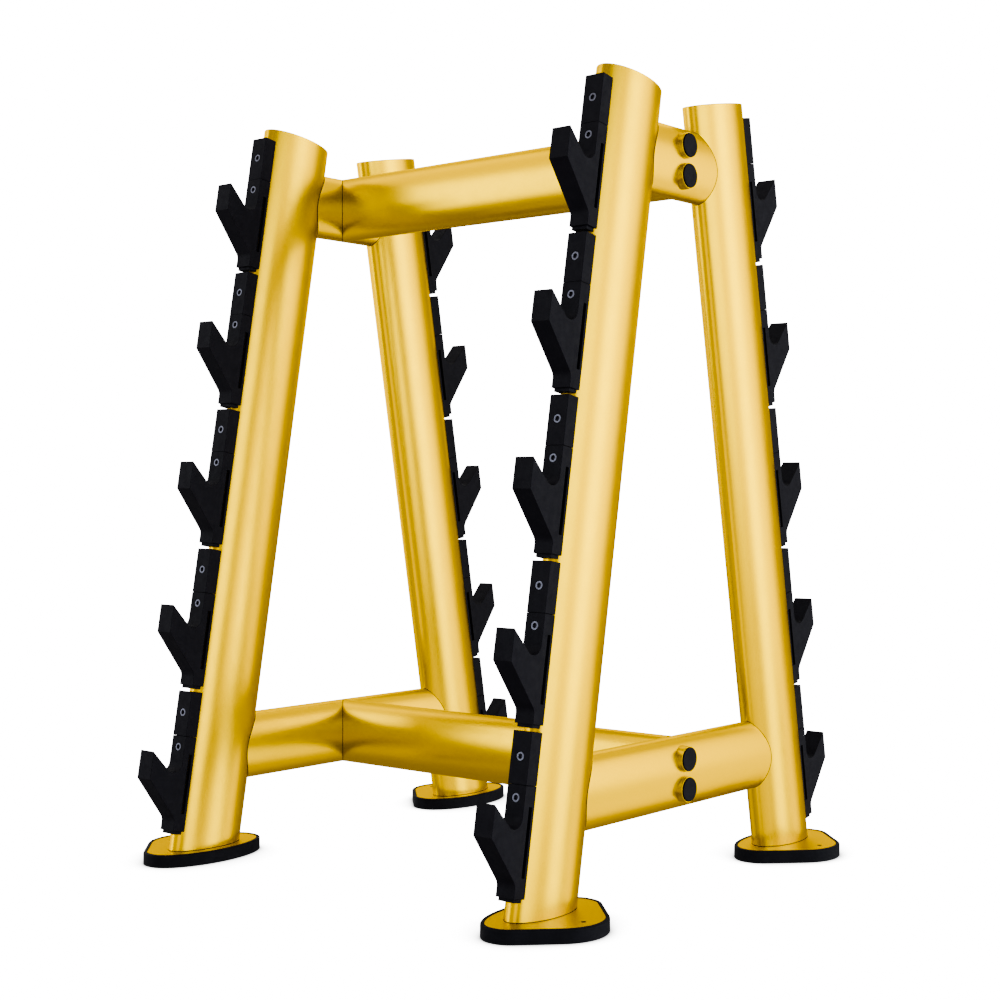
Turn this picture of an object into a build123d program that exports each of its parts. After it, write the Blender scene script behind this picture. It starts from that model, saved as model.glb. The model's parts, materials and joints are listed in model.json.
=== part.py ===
from build123d import *
import math
import os

# Two-sided A-frame rack for fixed-weight barbells. Units are millimetres.
# Origin: on the floor, midway between the four feet. +X is along a stored barbell,
# -Y is the front, +Z is up.

# ---------------------------------------------------------------- driving dimensions
FRAME_SPACING = 770.0          # between the two A-frames, centre to centre
LEG_LEAN = 10.0                # degrees from vertical, tops leaning towards each other
LEG_FOOT_Y = 348.7             # leg axis to the middle plane, at the top of the foot plate
LEG_LENGTH = 1310.0            # along the leg axis, from the top of the foot plate
LEG_DEPTH = 150.0              # oval tube, long axis in the plane of the A-frame
LEG_WIDTH = 73.0
WALL = 3.0                     # wall of every oval tube

BEAM_HEIGHT = 120.0            # oval tube of the ties and the stretchers, long axis upright
BEAM_WIDTH = 57.0
LOWER_BEAM_Z = 188.0
UPPER_BEAM_Z = 1196.5

PLATE_TOP = 21.0
PLATE_THICKNESS = 10.0
PLATE_HALF_LENGTH = 114.5
PLATE_INNER_REACH = 55.0       # from the leg axis towards the middle of the rack
PLATE_CORNER_X = 134.2         # where the two slanted outer edges would meet
PLATE_NOSE_RADIUS = 74.0
PLATE_CORNER_RADIUS = 33.0
ANCHOR_OFFSET = 80.5           # anchor hole, outwards from the leg axis
ANCHOR_RADIUS = 4.5
BOOT_WALL = 6.4
BOOT_LIP = 0.8                 # boot rim above the foot plate
BOOT_RIM_ROUND = 2.5
BOOT_FOOT_CHAMFER = 1.2
PLATE_CHAMFER = 0.6

TIERS = 5
TIER_PITCH = 255.0             # along the leg
FIRST_GUARD_TOP = 1287.0       # along the leg axis, from the top of the foot plate
FACE_OFFSET = 90.2             # front face of hooks and guards, from the leg axis
HOOK_WIDTH = 35.5
GUARD_LENGTH = 78.8
HOOK_START = 79.2              # measured down from the top of the guard above the hook
HOOK_END = 244.3
TONGUE_END = 249.7
TONGUE_INSET = 3.3
CRADLE_RADIUS = 17.5
CRADLE_DROP = 125.7            # cradle centre below the guard top
ARM_REACH = 156.7              # outer face of the arm, from the leg axis
ARM_TIP_DROP = 109.0
ARM_HEEL_DROP = 157.2          # where the slanted underside of the arm starts
NECK_FILLET = 15.0
SLOT_OFFSET = 74.4             # lightening slot in the hook's sides, from the leg axis
SLOT_WIDTH = 7.0
SLOT_DEPTH = 6.0
SLOT_TOP_DROP = 110.0
SLOT_END_DROP = 213.5
EDGE_ROUND = 0.8               # moulded edges
BLANK_DEPTH = 25.0             # how far hook and guard run past the leg's narrow side, round it
HEEL_ANGLE = 45.0              # degrees, the arm's underside from the vertical

GUARD_SCREW_DROP = 37.6        # screw centres below the guard top
HOOK_SCREW_DROP = 98.2
SCREW_HEAD_RADIUS = 7.0        # M8 socket head screw
SCREW_HEAD_HEIGHT = 8.0
SCREW_CHAMFER = 0.3
SCREW_LENGTH = 25.0
SCREW_RADIUS = 4.0
SCREW_SOCKET = 7.0             # across flats
SCREW_SOCKET_DEPTH = 4.5
SOCKET_LEAD_IN = 0.9           # depth of the cone at the socket's mouth
SCREW_RECESS = 0.4             # screw head below the hook's front face
COUNTERBORE_GAP = 0.5          # radial, round the screw head
SCREW_HOLE_GAP = 0.3           # radial, round the screw's shank
INSERT_RADIUS = 5.5            # M8 rivet nut
INSERT_LENGTH = 17.0
INSERT_FLANGE_RADIUS = 7.0
INSERT_FLANGE = 1.2
INSERT_RELIEF = 0.5            # clear space round the rivet nut's flange

BOLT_SPACING = 50.0            # two M12 bolts, one above the other, in each beam joint
SLEEVE_RADIUS = 21.2
SLEEVE_BORE_RADIUS = 19.9
SLEEVE_FACE = 34.6             # outer face, from the middle plane of the A-frame
SLEEVE_CHAMFER = 0.4
SLEEVE_FLOOR = 8.0             # bolt seat, on the inner side of that plane
SLEEVE_FLOOR_THICKNESS = 5.0
BOLT_RADIUS = 6.0
BOLT_LENGTH = 50.0
BOLT_HEAD_RADIUS = 9.0
BOLT_HEAD_HEIGHT = 12.0
BOLT_CHAMFER = 0.8
BOLT_SOCKET = 10.0             # across flats
BOLT_SOCKET_DEPTH = 6.0
BOLT_HOLE_RADIUS = 6.75
WASHER_RADIUS = 12.0
WASHER_THICKNESS = 2.5
END_PLATE_THICKNESS = 10.0
END_PLATE_SETBACK = 6.0        # from the side of the tie to the end plate
CAP_RADIUS = 19.6
CAP_PROUD = 2.2
CAP_THICKNESS = 3.5
CAP_ROUND = 1.0
CAP_SKIRT_LENGTH = 8.5
CAP_SKIRT_WALL = 2.0
CAP_SKIRT_GAP = 0.1            # radial, between skirt and bore
TOP_CAP_THICKNESS = 4.0

SEAT_GAP = 0.05                # between pieces that sit on each other
JOINT_GAP = 0.2                # between a stretcher's coped end and its tie
THREAD_GAP = 0.05              # radial, between plain stand-ins for a screw and its thread
OVERRUN = 2.0                  # how far a cutting shape passes the face it cuts
TRIM = 60.0                    # spare length on a tube before its ends are cut

# ---------------------------------------------------------------- frames of reference
half_spacing = FRAME_SPACING / 2
lean = math.radians(LEG_LEAN)
leg_half_depth = LEG_DEPTH / 2
leg_half_width = LEG_WIDTH / 2
beam_half_width = BEAM_WIDTH / 2
beam_half_height = BEAM_HEIGHT / 2
half_hook = HOOK_WIDTH / 2

# Leg frame of a front leg in the plane X = 0: x outwards from the leg's narrow side,
# y along +X, z up along the leg.
leg_frame = Plane(
    origin=(0, -LEG_FOOT_Y, PLATE_TOP),
    x_dir=(0, -math.cos(lean), math.sin(lean)),
    z_dir=(0, math.sin(lean), math.cos(lean)),
).location

turned = Rot(0, 0, 180)
corners = {
    "front_left": Pos(-half_spacing, 0, 0),
    "front_right": Pos(half_spacing, 0, 0),
    "back_left": Pos(-half_spacing, 0, 0) * turned,
    "back_right": Pos(half_spacing, 0, 0) * turned,
}
# An A-frame is made with its outer side towards +X.
sides = {
    "left": Pos(-half_spacing, 0, 0) * turned,
    "right": Pos(half_spacing, 0, 0),
}
beam_heights = {"lower": LOWER_BEAM_Z, "upper": UPPER_BEAM_Z}

guard_tops = [FIRST_GUARD_TOP - TIER_PITCH * tier for tier in range(TIERS)]


# ---------------------------------------------------------------- shared shapes
def oval(half_x, half_y, length, grow=0.0):
    """Solid bar of oval section, upwards from the XY plane."""
    return extrude(Ellipse(half_x + grow, half_y + grow), length)


def rod_x(radius, start, end):
    """Cylinder along X between two values of x."""
    return Pos(start, 0, 0) * Rot(0, 90, 0) * extrude(Circle(radius), end - start)


def hexagon_x(across_flats, start, end):
    """Hexagonal bar along X between two values of x."""
    sketch = RegularPolygon(across_flats / 2, 6, major_radius=False)
    return Pos(start, 0, 0) * Rot(0, 90, 0) * extrude(sketch, end - start)


def leg_bar(grow=0.0):
    """Outer shape of a front leg at X = 0, longer than the leg at both ends."""
    bar = oval(leg_half_depth, leg_half_width, LEG_LENGTH + 2 * TRIM, grow)
    return leg_frame * Pos(0, 0, -TRIM) * bar


def beam_bar(length, grow=0.0):
    """Outer shape of a tie, along Y and centred on the origin."""
    bar = oval(beam_half_width, beam_half_height, length, grow)
    return Pos(0, length / 2, 0) * Rot(90, 0, 0) * bar


# ---------------------------------------------------------------- legs
def screw_heights():
    """Heights of all the screws of one leg, along the leg."""
    drops = [GUARD_SCREW_DROP, HOOK_SCREW_DROP]
    return [top - drop for top in guard_tops for drop in drops]


def make_leg():
    tube = oval(leg_half_depth, leg_half_width, LEG_LENGTH + TRIM)
    tube -= oval(leg_half_depth - WALL, leg_half_width - WALL, LEG_LENGTH + TRIM)
    tube = Pos(0, 0, -TRIM) * tube
    for height in screw_heights():
        start = leg_half_depth - 2 * WALL
        hole = rod_x(INSERT_RADIUS + SEAT_GAP, start, leg_half_depth + OVERRUN)
        tube -= Pos(0, 0, height) * hole
    side = 2 * LEG_DEPTH
    below_plate = Pos(0, -LEG_FOOT_Y, PLATE_TOP - TRIM) * Box(side, side, 2 * TRIM)
    return leg_frame * tube - below_plate


def make_top_cap():
    """Welded plate that closes the top of a leg, flush with the tube's end."""
    cap = oval(leg_half_depth - WALL, leg_half_width - WALL, TOP_CAP_THICKNESS, -SEAT_GAP)
    return leg_frame * Pos(0, 0, LEG_LENGTH - TOP_CAP_THICKNESS) * cap


# ---------------------------------------------------------------- hooks and guards
def seat_cut():
    """The leg's own outside, all along one hook and its guard."""
    cut = oval(leg_half_depth, leg_half_width, TIER_PITCH + 2 * TRIM, SEAT_GAP)
    return Pos(0, 0, -TIER_PITCH - TRIM) * cut


def screw_hole(drop):
    """Counterbored hole for one screw, through to the leg."""
    seat = FACE_OFFSET - SCREW_RECESS - SCREW_HEAD_HEIGHT
    start = leg_half_depth - OVERRUN
    hole = rod_x(SCREW_RADIUS + SCREW_HOLE_GAP, start, FACE_OFFSET)
    hole += rod_x(SCREW_HEAD_RADIUS + COUNTERBORE_GAP, seat, FACE_OFFSET + OVERRUN)
    relief_end = leg_half_depth + INSERT_FLANGE + INSERT_RELIEF
    hole += rod_x(INSERT_FLANGE_RADIUS + INSERT_RELIEF, start, relief_end)
    return Pos(0, 0, -drop) * hole


def side_loops(solid):
    """Edges of the two flat sides, the ones that face along the barbell."""
    faces = solid.faces().sort_by(Axis.Y)
    return faces[0].edges() + faces[-1].edges()


def extrude_sideways(face, width):
    """Extrude a face of the x-z plane, half to each side."""
    return extrude(Plane.XZ * face, width / 2, both=True)


def make_guard():
    """Flat block above each hook, in the leg frame, with its top at z = 0."""
    inner = leg_half_depth - BLANK_DEPTH
    middle = (FACE_OFFSET + inner) / 2
    block = Pos(middle, 0, -GUARD_LENGTH / 2) * Box(FACE_OFFSET - inner, HOOK_WIDTH, GUARD_LENGTH)
    front = block.faces().sort_by(Axis.X)[-1]
    ends = [block.faces().sort_by(Axis.Z)[end].edges() for end in (0, -1)]
    edges = front.edges() + ends[0].filter_by(Axis.X) + ends[1].filter_by(Axis.X)
    block = fillet(edges, EDGE_ROUND)
    return block - seat_cut() - screw_hole(GUARD_SCREW_DROP)


def hook_outline():
    """Side view of the hook: neck, round cradle, wedge-shaped arm and slanted heel."""
    centre = (FACE_OFFSET + CRADLE_RADIUS, -CRADLE_DROP)
    tip = (ARM_REACH, -ARM_TIP_DROP)
    to_tip = math.atan2(tip[1] - centre[1], tip[0] - centre[0])
    distance = math.hypot(tip[0] - centre[0], tip[1] - centre[1])
    touch = to_tip - math.acos(CRADLE_RADIUS / distance)
    cradle_end = (
        centre[0] + CRADLE_RADIUS * math.cos(touch),
        centre[1] + CRADLE_RADIUS * math.sin(touch),
    )
    bottom = (centre[0], centre[1] - CRADLE_RADIUS)
    heel = (ARM_REACH, -ARM_HEEL_DROP)
    turn = math.radians(HEEL_ANGLE)
    bend = (FACE_OFFSET, -ARM_HEEL_DROP - (ARM_REACH - FACE_OFFSET) / math.tan(turn))
    run = NECK_FILLET * math.tan(turn / 2)
    slant_end = (bend[0] + run * math.sin(turn), bend[1] + run * math.cos(turn))
    neck_start = (bend[0], bend[1] - run)
    inner = leg_half_depth - BLANK_DEPTH
    path = [
        Line((inner, -HOOK_START), (FACE_OFFSET, -HOOK_START)),
        Line((FACE_OFFSET, -HOOK_START), (FACE_OFFSET, centre[1])),
        ThreePointArc((FACE_OFFSET, centre[1]), bottom, cradle_end),
        Line(cradle_end, tip),
        Line(tip, heel),
        Line(heel, slant_end),
        TangentArc(slant_end, neck_start, tangent=(-math.sin(turn), -math.cos(turn))),
        Line(neck_start, (FACE_OFFSET, -HOOK_END)),
        Line((FACE_OFFSET, -HOOK_END), (inner, -HOOK_END)),
        Line((inner, -HOOK_END), (inner, -HOOK_START)),
    ]
    return make_face(Curve() + path)


def make_hook():
    """Barbell hook, in the leg frame, with z = 0 at the top of the guard above it."""
    hook = extrude_sideways(hook_outline(), HOOK_WIDTH)
    hook = fillet(side_loops(hook), EDGE_ROUND)
    inner = leg_half_depth - BLANK_DEPTH
    tongue_face = FACE_OFFSET - TONGUE_INSET
    tongue_middle = (tongue_face + inner) / 2
    tongue_length = TONGUE_END - HOOK_END
    tongue_height = tongue_length + OVERRUN
    tongue = Box(tongue_face - inner, HOOK_WIDTH - 2 * TONGUE_INSET, tongue_height)
    hook += Pos(tongue_middle, 0, -TONGUE_END + tongue_height / 2) * tongue
    slot_length = SLOT_END_DROP - SLOT_TOP_DROP
    slot_middle = -(SLOT_TOP_DROP + SLOT_END_DROP) / 2
    for side in (-1, 1):
        slot = Box(SLOT_WIDTH, 2 * SLOT_DEPTH, slot_length)
        hook -= Pos(SLOT_OFFSET, side * half_hook, slot_middle) * slot
    return hook - seat_cut() - screw_hole(HOOK_SCREW_DROP)


def make_screw():
    """M8 screw along x in the leg frame, its head nearly flush with the front face."""
    face = FACE_OFFSET - SCREW_RECESS
    seat = face - SCREW_HEAD_HEIGHT
    head = rod_x(SCREW_HEAD_RADIUS, seat, face)
    head = chamfer(head.edges().sort_by(Axis.X)[-1], SCREW_CHAMFER)
    screw = head + rod_x(SCREW_RADIUS, seat - SCREW_LENGTH, seat)
    screw -= hexagon_x(SCREW_SOCKET, face - SCREW_SOCKET_DEPTH, face + OVERRUN)
    corner = SCREW_SOCKET / math.sqrt(3)
    lead_in = Cone(corner - SOCKET_LEAD_IN, corner + SOCKET_LEAD_IN, 2 * SOCKET_LEAD_IN)
    return screw - Pos(face, 0, 0) * Rot(0, 90, 0) * lead_in


def make_insert():
    """M8 rivet nut in the leg's wall, along x in the leg frame."""
    start = leg_half_depth + SEAT_GAP
    insert = rod_x(INSERT_RADIUS, start - INSERT_LENGTH, start)
    insert += rod_x(INSERT_FLANGE_RADIUS, start, start + INSERT_FLANGE)
    thread = rod_x(
        SCREW_RADIUS + THREAD_GAP,
        start - INSERT_LENGTH - OVERRUN,
        start + INSERT_FLANGE + OVERRUN,
    )
    return insert - thread


# ---------------------------------------------------------------- beams and their joints
def make_tie(height, leg_pair):
    """Oval tube across an A-frame, coped onto both legs, at X = 0."""
    reach = 2 * LEG_FOOT_Y
    inside = oval(beam_half_width - WALL, beam_half_height - WALL, reach)
    tie = beam_bar(reach) - Pos(0, reach / 2, 0) * Rot(90, 0, 0) * inside
    tie = Pos(0, 0, height) * tie - leg_pair
    # The saddle cut leaves a stub inside each leg and beyond it: keep the middle run.
    tie = tie.solids().sort_by(SortBy.VOLUME)[-1]
    for lift in (-BOLT_SPACING / 2, BOLT_SPACING / 2):
        tie -= Pos(0, 0, height + lift) * rod_x(SLEEVE_RADIUS + SEAT_GAP, 0, BEAM_WIDTH)
        tie -= Pos(0, 0, height + lift) * rod_x(BOLT_HOLE_RADIUS, -BEAM_WIDTH, 0)
    return tie


def make_stretcher():
    """Oval tube between the two A-frames, along X, fish-mouthed around both ties."""
    outer = oval(beam_half_height, beam_half_width, FRAME_SPACING)
    inside = oval(beam_half_height - WALL, beam_half_width - WALL, FRAME_SPACING)
    tube = Pos(-half_spacing, 0, 0) * Rot(0, 90, 0) * (outer - inside)
    for side in (-1, 1):
        tube -= Pos(side * half_spacing, 0, 0) * beam_bar(4 * BEAM_WIDTH, JOINT_GAP)
    return tube.solids().sort_by(SortBy.VOLUME)[-1]


def make_end_plate():
    """Threaded plate welded inside a stretcher's end, for the right-hand A-frame."""
    near = -beam_half_width - END_PLATE_SETBACK
    plate = oval(beam_half_height - WALL, beam_half_width - WALL, END_PLATE_THICKNESS, -SEAT_GAP)
    plate = Pos(near - END_PLATE_THICKNESS, 0, 0) * Rot(0, 90, 0) * plate
    for lift in (-BOLT_SPACING / 2, BOLT_SPACING / 2):
        plate -= Pos(0, 0, lift) * rod_x(BOLT_RADIUS + THREAD_GAP, -BEAM_WIDTH, 0)
    return plate


def make_sleeve():
    """Welded pocket that sinks a bolt head into the tie."""
    sleeve = rod_x(SLEEVE_RADIUS, -SLEEVE_FLOOR - SLEEVE_FLOOR_THICKNESS, SLEEVE_FACE)
    sleeve = chamfer(sleeve.edges().sort_by(Axis.X)[-1], SLEEVE_CHAMFER)
    sleeve -= rod_x(SLEEVE_BORE_RADIUS, -SLEEVE_FLOOR, SLEEVE_FACE + OVERRUN)
    return sleeve - rod_x(BOLT_HOLE_RADIUS, -BEAM_WIDTH, 0)


def make_washer():
    washer = rod_x(WASHER_RADIUS, -SLEEVE_FLOOR, -SLEEVE_FLOOR + WASHER_THICKNESS)
    return washer - rod_x(BOLT_HOLE_RADIUS, -BEAM_WIDTH, 0)


def make_bolt():
    """M12 cap screw, its head inside the sleeve."""
    seat = -SLEEVE_FLOOR + WASHER_THICKNESS
    head = rod_x(BOLT_HEAD_RADIUS, seat, seat + BOLT_HEAD_HEIGHT)
    head = chamfer(head.edges().sort_by(Axis.X)[-1], BOLT_CHAMFER)
    bolt = head + rod_x(BOLT_RADIUS, seat - BOLT_LENGTH, seat)
    top = seat + BOLT_HEAD_HEIGHT
    return bolt - hexagon_x(BOLT_SOCKET, top - BOLT_SOCKET_DEPTH, top + OVERRUN)


def make_cover_cap():
    """Plastic plug that closes a sleeve: a disc with a skirt pushed into the bore."""
    face = SLEEVE_FACE + CAP_PROUD
    back = face - CAP_THICKNESS
    cap = rod_x(CAP_RADIUS, back, face)
    cap = fillet(cap.edges().sort_by(Axis.X)[-1], CAP_ROUND)
    skirt_radius = SLEEVE_BORE_RADIUS - CAP_SKIRT_GAP
    skirt = rod_x(skirt_radius, back - CAP_SKIRT_LENGTH, back)
    skirt -= rod_x(skirt_radius - CAP_SKIRT_WALL, back - CAP_SKIRT_LENGTH - OVERRUN, back)
    return cap + skirt


# ---------------------------------------------------------------- feet
def foot_outline(margin):
    """Plan of a foot, +X outwards: half an oval inside, a blunt nose with slanted sides outside."""
    half_length = PLATE_HALF_LENGTH + margin
    corner_x = PLATE_CORNER_X + margin * math.sqrt(2)
    nose = Polygon(
        (0, -half_length),
        (corner_x - half_length, -half_length),
        (corner_x, 0),
        (corner_x - half_length, half_length),
        (0, half_length),
        align=None,
    )
    points = nose.vertices().sort_by(Axis.X)
    nose = fillet(points[2:4], PLATE_CORNER_RADIUS + margin)
    nose = fillet(nose.vertices().filter_by(lambda v: abs(v.Y) < 1), PLATE_NOSE_RADIUS + margin)
    return Ellipse(PLATE_INNER_REACH + margin, half_length) + nose


def make_foot_plate():
    plate = extrude(foot_outline(0), PLATE_THICKNESS)
    plate = chamfer(plate.faces().sort_by(Axis.Z)[-1].outer_wire().edges(), PLATE_CHAMFER)
    plate = Pos(0, 0, PLATE_TOP - PLATE_THICKNESS) * plate
    return plate - Pos(ANCHOR_OFFSET, 0, 0) * Cylinder(ANCHOR_RADIUS, 2 * TRIM)


def make_boot():
    """Rubber tray under the foot plate, with a raised rim round it."""
    height = PLATE_TOP + BOOT_LIP
    boot = extrude(foot_outline(BOOT_WALL), height)
    boot = fillet(boot.faces().sort_by(Axis.Z)[-1].edges(), BOOT_RIM_ROUND)
    boot = chamfer(boot.faces().sort_by(Axis.Z)[0].edges(), BOOT_FOOT_CHAMFER)
    floor = PLATE_TOP - PLATE_THICKNESS - SEAT_GAP
    boot -= Pos(0, 0, floor) * extrude(foot_outline(SEAT_GAP), height)
    return boot - Pos(ANCHOR_OFFSET, 0, 0) * Cylinder(ANCHOR_RADIUS, 2 * TRIM)


# ---------------------------------------------------------------- all the pieces
def build():
    nodes = {}

    leg = make_leg()
    top_cap = make_top_cap()
    guard = make_guard()
    hook = make_hook()
    screw = make_screw()
    insert = make_insert()
    hook_screws = []
    guard_screws = []
    inserts = []
    for corner, place in corners.items():
        nodes[f"leg_{corner}"] = [place * leg]
        nodes[f"leg_top_cap_{corner}"] = [place * top_cap]
        on_leg = place * leg_frame
        nodes[f"guards_{corner}"] = [on_leg * Pos(0, 0, top) * guard for top in guard_tops]
        for tier, top in enumerate(guard_tops, start=1):
            nodes[f"hook_{corner}_{tier}"] = [on_leg * Pos(0, 0, top) * hook]
            guard_screws.append(on_leg * Pos(0, 0, top - GUARD_SCREW_DROP) * screw)
            hook_screws.append(on_leg * Pos(0, 0, top - HOOK_SCREW_DROP) * screw)
        inserts += [on_leg * Pos(0, 0, height) * insert for height in screw_heights()]
    nodes["guard_screws"] = guard_screws
    nodes["hook_screws"] = hook_screws
    nodes["rivet_nuts"] = inserts

    front_bar = leg_bar(SEAT_GAP)
    leg_pair = front_bar + turned * front_bar
    sleeve = make_sleeve()
    washer = make_washer()
    bolt = make_bolt()
    cover_cap = make_cover_cap()
    end_plate = make_end_plate()
    stretcher = make_stretcher()
    small = {
        "bolt_sleeves": sleeve,
        "bolt_washers": washer,
        "frame_bolts": bolt,
        "bolt_cover_caps": cover_cap,
    }
    for name in small:
        nodes[name] = []
    for level, height in beam_heights.items():
        tie = make_tie(height, leg_pair)
        nodes[f"{level}_stretcher"] = [Pos(0, 0, height) * stretcher]
        nodes[f"{level}_stretcher_end_plates"] = []
        for side, place in sides.items():
            nodes[f"{level}_tie_{side}"] = [place * tie]
            nodes[f"{level}_stretcher_end_plates"].append(place * Pos(0, 0, height) * end_plate)
            for lift in (-BOLT_SPACING / 2, BOLT_SPACING / 2):
                for name, piece in small.items():
                    nodes[name].append(place * Pos(0, 0, height + lift) * piece)

    foot_plate = make_foot_plate()
    boot = make_boot()
    for corner in corners:
        depth, side = corner.split("_")
        y = -LEG_FOOT_Y if depth == "front" else LEG_FOOT_Y
        place = Pos(half_spacing, y, 0) if side == "right" else Pos(-half_spacing, y, 0) * turned
        nodes[f"foot_plate_{corner}"] = [place * foot_plate]
        nodes[f"rubber_boot_{corner}"] = [place * boot]
    return nodes


def write(nodes):
    os.makedirs("parts", exist_ok=True)
    for name, pieces in nodes.items():
        solids = [solid for piece in pieces for solid in piece.solids()]
        shape = solids[0] if len(solids) == 1 else Compound(children=solids)
        export_step(shape, f"parts/{name}.step")


write(build())
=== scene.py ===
import json
import math

import bpy
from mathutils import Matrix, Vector


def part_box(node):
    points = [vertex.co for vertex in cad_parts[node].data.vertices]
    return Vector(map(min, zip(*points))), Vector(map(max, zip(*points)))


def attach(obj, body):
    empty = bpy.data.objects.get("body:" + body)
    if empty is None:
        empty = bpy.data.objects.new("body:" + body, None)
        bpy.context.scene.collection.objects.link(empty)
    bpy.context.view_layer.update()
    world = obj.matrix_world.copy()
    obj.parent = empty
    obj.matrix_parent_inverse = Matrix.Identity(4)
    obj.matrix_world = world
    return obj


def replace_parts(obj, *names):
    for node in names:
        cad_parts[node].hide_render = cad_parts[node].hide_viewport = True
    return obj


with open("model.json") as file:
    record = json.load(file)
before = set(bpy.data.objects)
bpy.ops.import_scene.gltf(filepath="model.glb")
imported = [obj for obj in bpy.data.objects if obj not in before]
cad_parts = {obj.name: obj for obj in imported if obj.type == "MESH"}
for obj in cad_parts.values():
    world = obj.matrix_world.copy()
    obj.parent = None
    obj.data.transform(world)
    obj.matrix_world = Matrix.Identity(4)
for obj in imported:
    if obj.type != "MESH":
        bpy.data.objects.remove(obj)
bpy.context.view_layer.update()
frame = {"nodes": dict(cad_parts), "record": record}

# ---------------------------------------------------------------- camera
# In front of the right-hand end of the rack, at half its height.
CAMERA_PLACE = Vector((1.9798, -2.3525, 0.6613))
CAMERA_TURN = math.radians(39.883)
CAMERA_TILT = math.radians(-0.448)
CAMERA_LENS = 61.48

camera = bpy.data.objects.new("camera", bpy.data.cameras.new("camera"))
camera.location = CAMERA_PLACE
camera.rotation_euler = (math.pi / 2 + CAMERA_TILT, 0, CAMERA_TURN)
camera.data.lens = CAMERA_LENS
camera.data.sensor_width = 36.0
camera.data.clip_end = 100
bpy.context.collection.objects.link(camera)
bpy.context.scene.camera = camera
bpy.context.scene.view_settings.view_transform = "AgX"
bpy.context.scene.view_settings.look = "AgX - High Contrast"


# ---------------------------------------------------------------- node helpers
def new_material(name):
    material = bpy.data.materials.new(name)
    material.use_nodes = True
    tree = material.node_tree
    shader = tree.nodes["Principled BSDF"]
    return material, tree, shader


def noise(tree, scale, detail=3.0):
    """Smooth random value over a piece's own coordinates."""
    coords = tree.nodes.new("ShaderNodeTexCoord")
    node = tree.nodes.new("ShaderNodeTexNoise")
    node.inputs["Scale"].default_value = scale
    node.inputs["Detail"].default_value = detail
    tree.links.new(coords.outputs["Object"], node.inputs["Vector"])
    return node.outputs["Fac"]


def spread(tree, value, low, high, first=0.3, last=0.7):
    """Maps first to last, the middle of a noise, onto low to high."""
    node = tree.nodes.new("ShaderNodeMapRange")
    node.inputs["From Min"].default_value = first
    node.inputs["From Max"].default_value = last
    node.inputs["To Min"].default_value = low
    node.inputs["To Max"].default_value = high
    tree.links.new(value, node.inputs["Value"])
    return node.outputs["Result"]


def tint(tree, value, dark, light):
    """Turns a noise into a colour between dark and light."""
    ramp = tree.nodes.new("ShaderNodeValToRGB")
    for element, colour, position in zip(ramp.color_ramp.elements, (dark, light), (0.35, 0.65)):
        element.color = (*colour, 1)
        element.position = position
    tree.links.new(value, ramp.inputs["Fac"])
    return ramp.outputs["Color"]


def bump(tree, shader, height, strength, distance):
    node = tree.nodes.new("ShaderNodeBump")
    node.inputs["Strength"].default_value = strength
    node.inputs["Distance"].default_value = distance
    tree.links.new(height, node.inputs["Height"])
    tree.links.new(node.outputs["Normal"], shader.inputs["Normal"])


# ---------------------------------------------------------------- materials
GOLD_DARK = (0.97, 0.588, 0.001)
GOLD_LIGHT = (1.0, 0.608, 0.002)
GOLD_EDGE_TINT = (1.0, 0.86, 0.15, 1)
PAINTED_REFLECTION_COLOUR = (0.55, 0.53, 0.5, 1)   # painted reflection: duller, greyer colour the gold takes only where other glossy surfaces mirror it
PAINT_ROUGH_RANGE = 0.03
PLASTIC_SPECULAR = 0.12

# Noise scales, in cycles per metre.
PAINT_SPECKLE = 300
PAINT_CLOUD = 35
PAINT_TEXTURE = 350
PLASTIC_CLOUD = 60
PLASTIC_PATCH = 90
STEEL_SPECKLE = 500
STEEL_PATCH = 300
STEEL_GRAIN = 1500


def gold_paint(name, rough):
    """Satin gold powder coat."""
    material, tree, shader = new_material(name)
    shader.inputs["Metallic"].default_value = 1.0
    shader.inputs["Specular Tint"].default_value = GOLD_EDGE_TINT
    colour = tint(tree, noise(tree, PAINT_SPECKLE, detail=2), GOLD_DARK, GOLD_LIGHT)
    # Painted reflection: glossy rays see the gold in the duller colour above, so gold mirrored in gold
    # looks darker.
    painted_reflection = tree.nodes.new("ShaderNodeMix")
    painted_reflection.data_type = "RGBA"
    paths = tree.nodes.new("ShaderNodeLightPath")
    painted_reflection.inputs["B"].default_value = PAINTED_REFLECTION_COLOUR
    tree.links.new(paths.outputs["Is Glossy Ray"], painted_reflection.inputs["Factor"])
    tree.links.new(colour, painted_reflection.inputs["A"])
    tree.links.new(painted_reflection.outputs["Result"], shader.inputs["Base Color"])
    roughness = spread(tree, noise(tree, PAINT_CLOUD), rough, rough + PAINT_ROUGH_RANGE)
    tree.links.new(roughness, shader.inputs["Roughness"])
    bump(tree, shader, noise(tree, PAINT_TEXTURE, detail=2), strength=0.02, distance=0.0002)
    return material


def black_plastic(name, dark, light, rough, grain):
    """Matt moulded plastic or rubber. grain is the scale of its bumps."""
    material, tree, shader = new_material(name)
    shader.inputs["Specular IOR Level"].default_value = PLASTIC_SPECULAR
    colour = tint(tree, noise(tree, PLASTIC_CLOUD), dark, light)
    tree.links.new(colour, shader.inputs["Base Color"])
    roughness = spread(tree, noise(tree, PLASTIC_PATCH), rough - 0.05, rough + 0.06)
    tree.links.new(roughness, shader.inputs["Roughness"])
    bump(tree, shader, noise(tree, grain, detail=2), strength=0.12, distance=0.0003)
    return material


def steel(name, dark, light, rough):
    """Bare or plated steel with a fine grain."""
    material, tree, shader = new_material(name)
    shader.inputs["Metallic"].default_value = 1.0
    colour = tint(tree, noise(tree, STEEL_SPECKLE), dark, light)
    tree.links.new(colour, shader.inputs["Base Color"])
    roughness = spread(tree, noise(tree, STEEL_PATCH), rough - 0.05, rough + 0.08)
    tree.links.new(roughness, shader.inputs["Roughness"])
    bump(tree, shader, noise(tree, STEEL_GRAIN, detail=2), strength=0.05, distance=0.0001)
    return material


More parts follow.
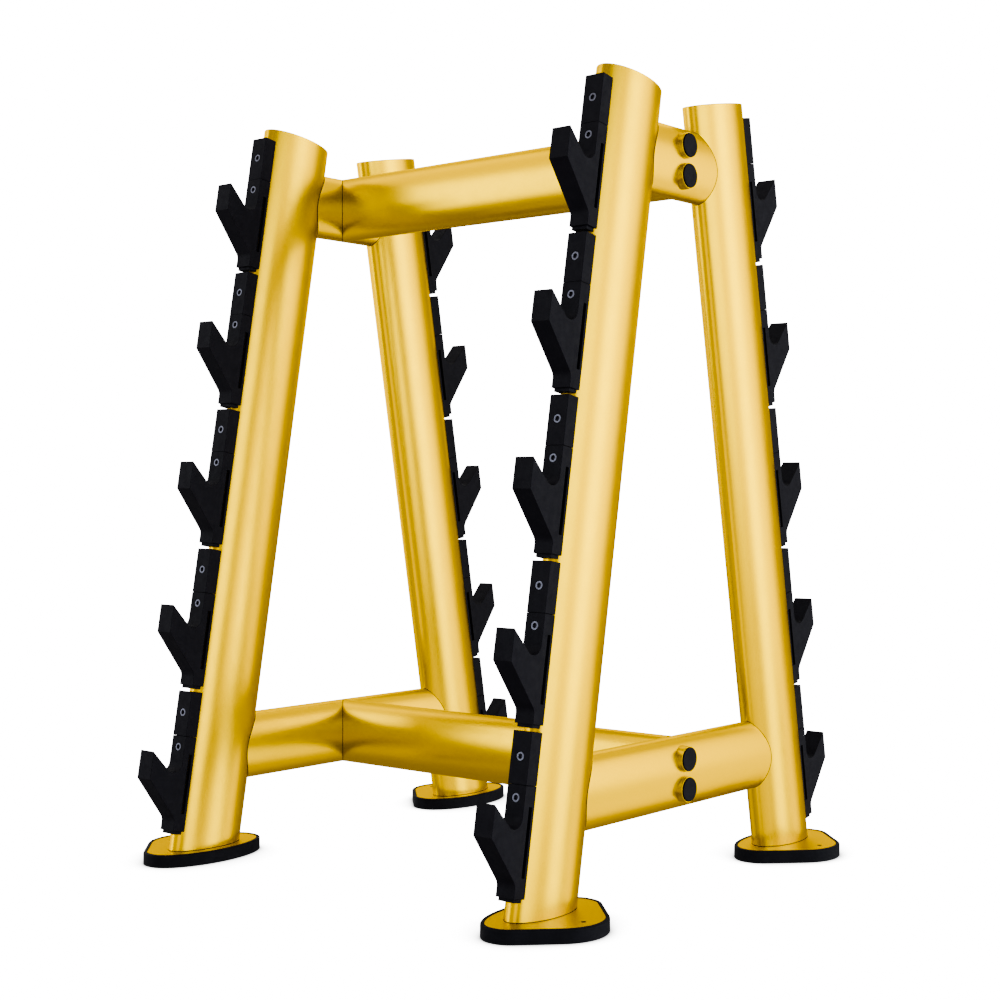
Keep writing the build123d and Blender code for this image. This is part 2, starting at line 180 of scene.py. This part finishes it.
slots = {
    "frame_paint": gold_paint("gold_paint", 0.288),
    "foot_plates": gold_paint("gold_plate_paint", 0.36),
    "hook_plastic": black_plastic(
        "hook_plastic", (0.0138, 0.0124, 0.0176), (0.0170, 0.0153, 0.0213), 0.55, 1800
    ),
    "cover_caps": black_plastic(
        "cap_plastic", (0.0120, 0.0107, 0.0155), (0.0148, 0.0132, 0.0188), 0.50, 2200
    ),
    "boot_rubber": black_plastic(
        "boot_rubber", (0.0120, 0.0115, 0.0155), (0.0150, 0.0143, 0.0195), 0.60, 1200
    ),
    "screws": steel("dark_screw_steel", (0.13, 0.127, 0.155), (0.18, 0.175, 0.21), 0.40),
    "plated_steel": steel("plated_steel", (0.50, 0.50, 0.51), (0.60, 0.60, 0.61), 0.30),
}
slot_of = {entry["node"]: entry["material_slot"] for entry in frame["record"]["subparts"]}
for node, piece in frame["nodes"].items():
    piece.data.materials.clear()
    piece.data.materials.append(slots[slot_of[node]])

# ---------------------------------------------------------------- oval tubes
LEG_LEAN = math.radians(10)
LEG_HALF_DEPTH = 0.075       # half the oval's long side, in the plane of the A-frame
LEG_LENGTH = 1.310
TUBE_WALL = 0.003
END_ROUND = 0.0012           # rounded edge of a tube's end
POINTS_ROUND = 128
ROW_SPACING = 0.02
ROUND_STEPS = 4
CLEARANCE = 0.0001           # between a coped end and the tube that it meets
ANCHOR_OFFSET = 0.0805       # anchor hole, outwards from the leg axis
ANCHOR_RADIUS = 0.0044
BUSH_WALL = 0.0012
BUSH_SINK = 0.0008           # below the top of the foot plate
SLEEVE_RADIUS = 0.0212
SLEEVE_WALL = 0.0013
SLEEVE_ROUND = 0.0005
SLEEVE_LIFT = 0.025          # above and below the middle of a tie
SLEEVE_ROOT = 0.004          # how far a sleeve goes into the side of its tie
# Radii of the thin dark strips laid in the joints as painted shadow lines.
FOOT_SHADOW_STRIP = 0.0006
TIE_SHADOW_STRIP = 0.0008
STRETCHER_SHADOW_STRIP = 0.0007
SHADOW_STRIP_SIDES = 8
ANGLES = [2 * math.pi * step / POINTS_ROUND for step in range(POINTS_ROUND)]


class Tube:
    """Closed hollow oval tube.

    start and end are functions of a place in its section, and say where along its axis it is cut there."""

    def __init__(
        self,
        origin,
        axis,
        across,
        half_across,
        half_up,
        start,
        end,
        wall=TUBE_WALL,
        rounding=END_ROUND,
    ):
        self.origin = Vector(origin)
        self.axis = Vector(axis).normalized()
        self.across = Vector(across).normalized()
        self.up = self.axis.cross(self.across)
        self.half_across = half_across
        self.half_up = half_up
        self.cuts = {-1: start, 1: end}
        self.wall = wall
        self.rounding = rounding

    def section(self, angle, inset):
        across = (self.half_across - inset) * math.cos(angle)
        up = (self.half_up - inset) * math.sin(angle)
        return across, up

    def point(self, across, up, along):
        return self.origin + self.across * across + self.up * up + self.axis * along

    def outward(self, angle):
        across = self.across * (math.cos(angle) / self.half_across)
        up = self.up * (math.sin(angle) / self.half_up)
        return (across + up).normalized()

    def edge(self, angle, side, inset, back=0.0):
        """Point near the cut at one end, moved back along the tube."""
        across, up = self.section(angle, inset)
        return self.point(across, up, self.cuts[side](across, up) - side * back)

    def rounded_edge(self, side):
        """Rings that turn the outer surface over into the cut, with their normals."""
        rings = []
        for step in range(1, ROUND_STEPS + 1):
            turn = math.pi / 2 * step / ROUND_STEPS
            inset = self.rounding * (1 - math.cos(turn))
            back = self.rounding * (1 - math.sin(turn))
            points = [self.edge(angle, side, inset, back) for angle in ANGLES]
            normals = [
                self.outward(angle) * math.cos(turn) + self.axis * side * math.sin(turn)
                for angle in ANGLES
            ]
            rings.append((points, normals))
        return rings

    def rings(self):
        """Outside, rounded end, inside, other rounded end."""
        outer_starts = [self.edge(angle, -1, 0, self.rounding) for angle in ANGLES]
        outer_ends = [self.edge(angle, 1, 0, self.rounding) for angle in ANGLES]
        outward = [self.outward(angle) for angle in ANGLES]
        inward = [-normal for normal in outward]
        longest = max((b - a).length for a, b in zip(outer_starts, outer_ends))
        rows = max(2, round(longest / ROW_SPACING))
        rings = []
        for row in range(rows + 1):
            share = row / rows
            rings.append(([a.lerp(b, share) for a, b in zip(outer_starts, outer_ends)], outward))
        rings += self.rounded_edge(1)
        inner_ends = [self.edge(angle, 1, self.wall) for angle in ANGLES]
        inner_starts = [self.edge(angle, -1, self.wall) for angle in ANGLES]
        rings += [(inner_ends, [self.axis] * POINTS_ROUND), (inner_ends, inward)]
        rings += [(inner_starts, inward), (inner_starts, [-self.axis] * POINTS_ROUND)]
        rings += reversed(self.rounded_edge(-1))
        return rings

    def shadow_strip(self, side, radius):
        """Thin round dark strip in the joint at one end, a painted shadow line where the tubes meet."""
        path = [self.edge(angle, side, radius / 2) for angle in ANGLES]
        rings = []
        for step, middle in enumerate(path):
            along = (path[(step + 1) % POINTS_ROUND] - path[step - 1]).normalized()
            out = self.outward(ANGLES[step])
            out = (out - along * out.dot(along)).normalized()
            sideways = along.cross(out)
            turns = [math.pi * turn / SHADOW_STRIP_SIDES * 2 for turn in range(SHADOW_STRIP_SIDES)]
            normals = [out * math.cos(turn) + sideways * math.sin(turn) for turn in turns]
            rings.append(([middle + normal * radius for normal in normals], normals))
        return rings


def ring_mesh(name, closed_forms):
    """One mesh of closed forms. Each is a list of rings, joined to the next and the last to the first.

    Two rings in the same place are one ring of points that has a sharp edge."""
    points = []
    faces = []
    corner_normals = []
    for rings in closed_forms:
        first = []
        for ring, (place, normals) in enumerate(rings):
            if ring and place is rings[ring - 1][0]:
                first.append(first[-1])
                continue
            first.append(len(points))
            points += place
        count = len(rings[0][0])
        for ring in range(len(rings)):
            after = (ring + 1) % len(rings)
            if first[ring] == first[after]:
                continue
            for step in range(count):
                following = (step + 1) % count
                corners = [(ring, step), (ring, following), (after, following), (after, step)]
                faces.append([first[r] + s for r, s in corners])
                corner_normals += [rings[r][1][s] for r, s in corners]
    mesh = bpy.data.meshes.new(name)
    mesh.from_pydata(points, [], faces)
    mesh.normals_split_custom_set(corner_normals)
    return mesh


def add_piece(name, closed_forms, slot):
    mesh = ring_mesh(name, closed_forms)
    mesh.materials.append(slots[slot])
    piece = bpy.data.objects.new(name, mesh)
    bpy.context.collection.objects.link(piece)
    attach(piece, "root")
    return piece


def stand_for(node, closed_forms):
    """Shows a cleaner mesh of a piece in place of its packed one."""
    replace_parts(add_piece(f"clean_{node}", closed_forms, slot_of[node]), node)


def middle_and_half(node, side):
    low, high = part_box(node)
    return (low[side] + high[side]) / 2, (high[side] - low[side]) / 2


def leg_tube(node):
    """Leg standing on its foot plate, leaning in towards the middle of the A-frame."""
    low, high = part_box(node)
    is_front = "front" in node
    middle_x, half_width = middle_and_half(node, 0)
    foot_half_depth = LEG_HALF_DEPTH / math.cos(LEG_LEAN)
    foot_y = low.y + foot_half_depth if is_front else high.y - foot_half_depth
    lean = math.sin(LEG_LEAN) if is_front else -math.sin(LEG_LEAN)
    axis = Vector((0, lean, math.cos(LEG_LEAN)))
    across = Vector((1, 0, 0))
    tilt = axis.cross(across).z / axis.z
    return Tube(
        (middle_x, foot_y, low.z),
        axis,
        across,
        half_width,
        LEG_HALF_DEPTH,
        lambda across, up: -up * tilt,
        lambda across, up: LEG_LENGTH,
    )


def tie_tube(node, leg):
    """Tie along Y, its ends coped onto the legs. leg is the front one; the back one mirrors it."""
    middle_x, half_width = middle_and_half(node, 0)
    middle_z, half_height = middle_and_half(node, 2)

    def reach(across, up):
        depth = leg.half_up * math.sqrt(1 - (across / leg.half_across) ** 2) + CLEARANCE
        rise = middle_z + up - leg.origin.z
        return -(leg.origin.y + (depth + rise * math.sin(LEG_LEAN)) / math.cos(LEG_LEAN))

    return Tube(
        (middle_x, 0, middle_z),
        (0, 1, 0),
        (1, 0, 0),
        half_width,
        half_height,
        lambda across, up: -reach(across, -up),
        lambda across, up: reach(across, -up),
    )


def stretcher_tube(node, tie):
    """Stretcher along X, its ends fish-mouthed round the two ties."""
    middle_z, half_height = middle_and_half(node, 2)

    def reach(across, up):
        depth = tie.half_across * math.sqrt(max(0.0, 1 - (up / tie.half_up) ** 2)) + CLEARANCE
        return abs(tie.origin.x) - depth

    return Tube(
        (0, 0, middle_z),
        (1, 0, 0),
        (0, 1, 0),
        tie.half_across,
        half_height,
        lambda across, up: -reach(across, up),
        reach,
    )


def sleeve_tube(tie, lift):
    """Round sleeve standing out of the outer side of a tie."""
    outwards = 1 if tie.origin.x > 0 else -1
    outer_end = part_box("bolt_sleeves")[1].x
    length = outer_end - abs(tie.origin.x)

    def root(across, up):
        height = (lift + outwards * up) / tie.half_up
        return tie.half_across * math.sqrt(1 - height**2) - SLEEVE_ROOT

    return Tube(
        tie.origin + Vector((0, 0, lift)),
        (outwards, 0, 0),
        (0, 1, 0),
        SLEEVE_RADIUS,
        SLEEVE_RADIUS,
        root,
        lambda across, up: length,
        SLEEVE_WALL,
        SLEEVE_ROUND,
    )


def anchor_bush(depth, side, leg):
    """Black lining of the anchor hole in a foot plate."""
    low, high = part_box(f"foot_plate_{depth}_{side}")
    outwards = 1 if leg.origin.x > 0 else -1
    place = Vector((leg.origin.x + outwards * ANCHOR_OFFSET, leg.origin.y, low.z))
    height = high.z - low.z - BUSH_SINK
    return Tube(
        place,
        (0, 0, 1),
        (1, 0, 0),
        ANCHOR_RADIUS,
        ANCHOR_RADIUS,
        lambda across, up: 0,
        lambda across, up: height,
        BUSH_WALL,
        SLEEVE_ROUND,
    )


sleeves = []
for side in ("left", "right"):
    for depth in ("front", "back"):
        leg = leg_tube(f"leg_{depth}_{side}")
        stand_for(f"leg_{depth}_{side}", [leg.rings()])
        # Dark strips in the foot, tie and stretcher joints are painted shadow lines.
        add_piece(f"foot_shadow_strip_{depth}_{side}", [leg.shadow_strip(-1, FOOT_SHADOW_STRIP)], "boot_rubber")
        add_piece(f"anchor_bush_{depth}_{side}", [anchor_bush(depth, side, leg).rings()], "boot_rubber")
        if depth == "front":
            front_leg = leg
    for level in ("lower", "upper"):
        tie = tie_tube(f"{level}_tie_{side}", front_leg)
        stand_for(f"{level}_tie_{side}", [tie.rings()])
        add_piece(f"{level}_tie_shadow_strips_{side}", [tie.shadow_strip(end, TIE_SHADOW_STRIP) for end in (-1, 1)], "boot_rubber")
        sleeves += [sleeve_tube(tie, lift).rings() for lift in (-SLEEVE_LIFT, SLEEVE_LIFT)]
        if side == "right":
            stretcher = stretcher_tube(f"{level}_stretcher", tie)
            stand_for(f"{level}_stretcher", [stretcher.rings()])
            shadow_strips = [stretcher.shadow_strip(end, STRETCHER_SHADOW_STRIP) for end in (-1, 1)]
            add_piece(f"{level}_stretcher_shadow_strips", shadow_strips, "boot_rubber")
stand_for("bolt_sleeves", sleeves)

# ---------------------------------------------------------------- floor and light
FLOOR_REACH = 60.0
FLOOR_CORNERS = ((-1, -1), (1, -1), (1, 1), (-1, 1))
BACKDROP_GLOW = 4.7          # white in the render
PAINTED_SHADOW_GLOW = 0.6             # glow of the floor in the corner under a boot's edge, its painted shadow
PAINTED_SHADOW_REACH = 0.12
PAINTED_SHADOW_RANGE = (0.5, 0.92)    # open share of the sky from a boot's edge to clear floor
AMBIENT = 0.26

floor_mesh = bpy.data.meshes.new("floor")
corners = [(x * FLOOR_REACH, y * FLOOR_REACH, 0) for x, y in FLOOR_CORNERS]
floor_mesh.from_pydata(corners, [], [(0, 1, 2, 3)])
floor = bpy.data.objects.new("floor", floor_mesh)
bpy.context.collection.objects.link(floor)
floor_material, tree, shader = new_material("pale_floor")
shader.inputs["Base Color"].default_value = (0, 0, 0, 1)
shader.inputs["Specular IOR Level"].default_value = 0.0
# Painted contact shadow: the floor glows less where ambient occlusion finds the boots and legs close by.
shade = tree.nodes.new("ShaderNodeAmbientOcclusion")
shade.inputs["Distance"].default_value = PAINTED_SHADOW_REACH
shade.samples = 16
glow = spread(tree, shade.outputs["AO"], PAINTED_SHADOW_GLOW, BACKDROP_GLOW, *PAINTED_SHADOW_RANGE)
tree.links.new(glow, shader.inputs["Emission Strength"])
shader.inputs["Emission Color"].default_value = (1, 1, 1, 1)
floor_mesh.materials.append(floor_material)
floor.visible_glossy = False
floor.visible_diffuse = False
floor.visible_shadow = False

world = bpy.data.worlds.new("studio")
bpy.context.scene.world = world
world.use_nodes = True
tree = world.node_tree
background = tree.nodes["Background"]
paths = tree.nodes.new("ShaderNodeLightPath")
backdrop = tree.nodes.new("ShaderNodeBackground")
backdrop.inputs["Color"].default_value = (1, 1, 1, 1)
backdrop.inputs["Strength"].default_value = BACKDROP_GLOW
background.inputs["Color"].default_value = (1, 1, 1, 1)
background.inputs["Strength"].default_value = AMBIENT
mix = tree.nodes.new("ShaderNodeMixShader")
tree.links.new(paths.outputs["Is Camera Ray"], mix.inputs["Fac"])
tree.links.new(background.outputs["Background"], mix.inputs[1])
tree.links.new(backdrop.outputs["Background"], mix.inputs[2])
tree.links.new(mix.outputs["Shader"], tree.nodes["World Output"].inputs["Surface"])

LAMP_DISTANCE = 6.0
LAMP_TARGET = Vector((0, 0, 0.66))
COOL = (0.97, 1.09, 1.15)
NEUTRAL = (1.0, 0.99, 0.94)
COOL_FROM = 1.5              # radiance above which a lamp is cool


def softbox(name, azimuth, width, low, high, radiance):
    """Even area light that the rack sees between these angles, in degrees. Azimuth 0 is -Y, 90 is +X."""
    light = bpy.data.lights.new(name, "AREA")
    light.shape = "RECTANGLE"
    light.size = 2 * LAMP_DISTANCE * math.tan(math.radians(width) / 2)
    light.size_y = 2 * LAMP_DISTANCE * math.tan(math.radians(high - low) / 2)
    light.energy = radiance * light.size * light.size_y * math.pi
    light.color = COOL if radiance > COOL_FROM else NEUTRAL
    lamp = bpy.data.objects.new(name, light)
    turn = math.radians(azimuth)
    rise = math.radians(low + high) / 2
    away = Vector((math.sin(turn) * math.cos(rise), -math.cos(turn) * math.cos(rise), math.sin(rise)))
    lamp.location = LAMP_TARGET + away * LAMP_DISTANCE
    lamp.rotation_euler = away.to_track_quat("Z", "Y").to_euler()
    lamp.visible_camera = False
    bpy.context.collection.objects.link(lamp)


# Name, azimuth, width, lowest and highest elevation, radiance.
for lamp in (
    ("right_box", 70, 40, -10, 26, 1.85),
    ("right_low", 70, 40, -36, -10, 0.6),
    ("right_fill", 100, 20, -10, 26, 1.25),
    ("right_fill_low", 100, 20, -36, -10, 0.4),
    ("rear_box", 120, 20, -10, 26, 2.6),
    ("rear_box_low", 120, 20, -36, -10, 1.9),
    ("rear_fill", 140, 20, -10, 26, 1.5),
    ("rear_fill_low", 135, 10, -36, -10, 0.15),
    ("rear_edge", 160, 20, -10, 26, 0.1),
    ("rear_edge_low", 148, 16, -36, -10, 1.2),
    ("rear_low", 150, 20, -70, -36, 0.3),
    ("left_box", -40, 20, -7, 28, 2.25),
    ("left_high", -50, 40, 28, 60, 0.75),
    ("front_box", 20, 20, -36, 26, 0.8),
    ("front_low", 40, 20, -36, -10, 0.35),
    ("high_back", 160, 60, 26, 60, 0.55),
    ("high_left", -90, 40, 26, 60, 0.5),
    ("back_box", -150, 50, 2, 30, 0.55),
    ("front_fill", -10, 40, -36, 26, 0.25),
    ("left_fill", -75, 50, -10, 26, 0.9),
    ("left_fill_low", -75, 50, -36, -10, 0.35),
    ("left_back", -108, 26, -10, 26, 1.0),
    ("back_high", -150, 50, 30, 60, 0.7),
    ("top_box", 0, 40, 65, 90, 0.8),
):
    softbox(*lamp)
